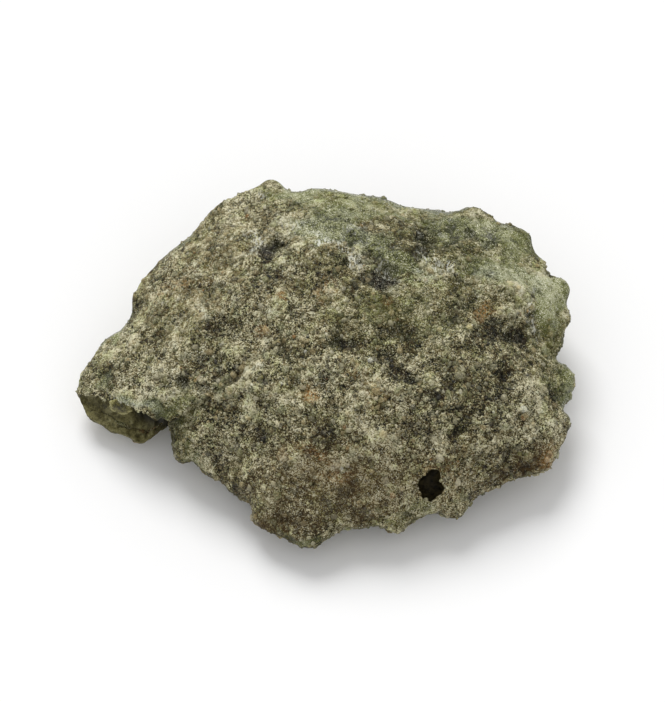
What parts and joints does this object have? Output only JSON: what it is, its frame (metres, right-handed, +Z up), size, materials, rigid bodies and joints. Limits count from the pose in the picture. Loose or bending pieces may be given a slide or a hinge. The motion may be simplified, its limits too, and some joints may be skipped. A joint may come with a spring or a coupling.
{
  "type": "trinitite",
  "caption": "Lump of trinitite: green-grey sand fused to glass, domed above, broken and bubbly at its edge, lying on a small flat spot.",
  "frame": {"origin": "middle of the stone's bounding box, on the ground that its flat spot rests on", "axes": "+X along the stone's length, away from the hollow toe; +Y away from the face that the picture shows; +Z up, through the stone's thickness"},
  "size_m": [0.036, 0.0278, 0.0116],
  "materials": {
    "fused_sand": "satin"
  },
  "bodies": {
    "root": {"trinitite": "fused_sand"}
  },
  "joints": []
}
